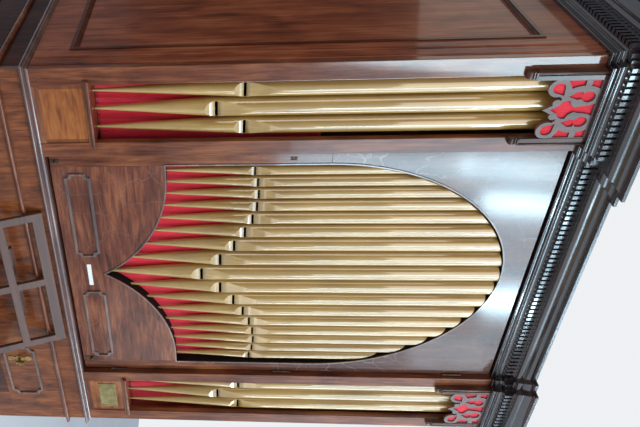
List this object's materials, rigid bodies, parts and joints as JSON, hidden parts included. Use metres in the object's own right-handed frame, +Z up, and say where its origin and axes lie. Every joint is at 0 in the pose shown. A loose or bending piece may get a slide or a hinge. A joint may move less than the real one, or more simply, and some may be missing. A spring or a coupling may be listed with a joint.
{
  "type": "chamber pipe organ with a gilded pipe front",
  "caption": "Free-standing chamber organ: a dark wooden case with two towers of gilded pipes, an arched door over more pipes, a keyboard and a music desk.",
  "frame": {"origin": "centre of the footprint's box, at floor level", "axes": "+Z up, +X to the right of the organ as the player sees it, -Y towards the player"},
  "size_m": [2.024, 1.25, 3.022],
  "materials": {
    "mahogany": "french polished",
    "dark_mahogany": "french polished, darkened",
    "fretwork": "satin",
    "oak": "worn satin",
    "deal": "stained, matt",
    "gilding": "matt gold paint",
    "brass": "lacquered",
    "red_cloth": "woven",
    "bone": "polished",
    "ebony": "polished"
  },
  "bodies": {
    "case": {"plinth": "mahogany", "corner_posts": "mahogany", "lower_side_frames": "mahogany", "lower_side_panels": "mahogany", "lower_back": "deal", "lower_front_rail": "mahogany", "lower_front_doors": "mahogany", "knee_panel": "mahogany", "lower_beads": "mahogany", "frieze_bead": "mahogany", "waist_moulding": "mahogany", "floor_board": "deal", "key_bed": "mahogany", "key_cheeks": "mahogany", "natural_keys": "bone", "sharp_keys": "ebony", "nameboard": "mahogany", "stop_knobs": "ebony", "desk_shelf": "mahogany", "music_desk": "oak", "upper_side_stiles": "mahogany", "upper_side_rails": "mahogany", "upper_side_panels": "mahogany", "upper_back": "deal", "top_board": "deal", "tower_stiles": "mahogany", "tower_rails": "mahogany", "tower_panels": "mahogany", "tower_shelves": "mahogany", "toe_boards": "mahogany", "pipe_rack": "deal", "tower_pipes": "gilding", "tower_cloths": "red_cloth", "frets": "fretwork", "fret_brackets": "mahogany", "bed_moulding": "dark_mahogany", "dentil_band": "dark_mahogany", "crown_moulding": "dark_mahogany", "hinge_leaves": "brass", "brass_plate": "brass", "candle_brackets": "brass"},
    "door": {"door_arch": "mahogany", "door_stiles": "mahogany", "door_bottom_rail": "mahogany", "door_beads": "mahogany", "door_fittings": "brass", "centre_pipes": "gilding", "centre_cloth": "red_cloth"}
  },
  "joints": [
    {"name": "door_hinge", "type": "hinge", "parent": "case", "child": "door", "pos_m": [0.553, -0.257, 1.224], "axis": [0, 0, 1], "range_deg": [0, 90]}
  ]
}
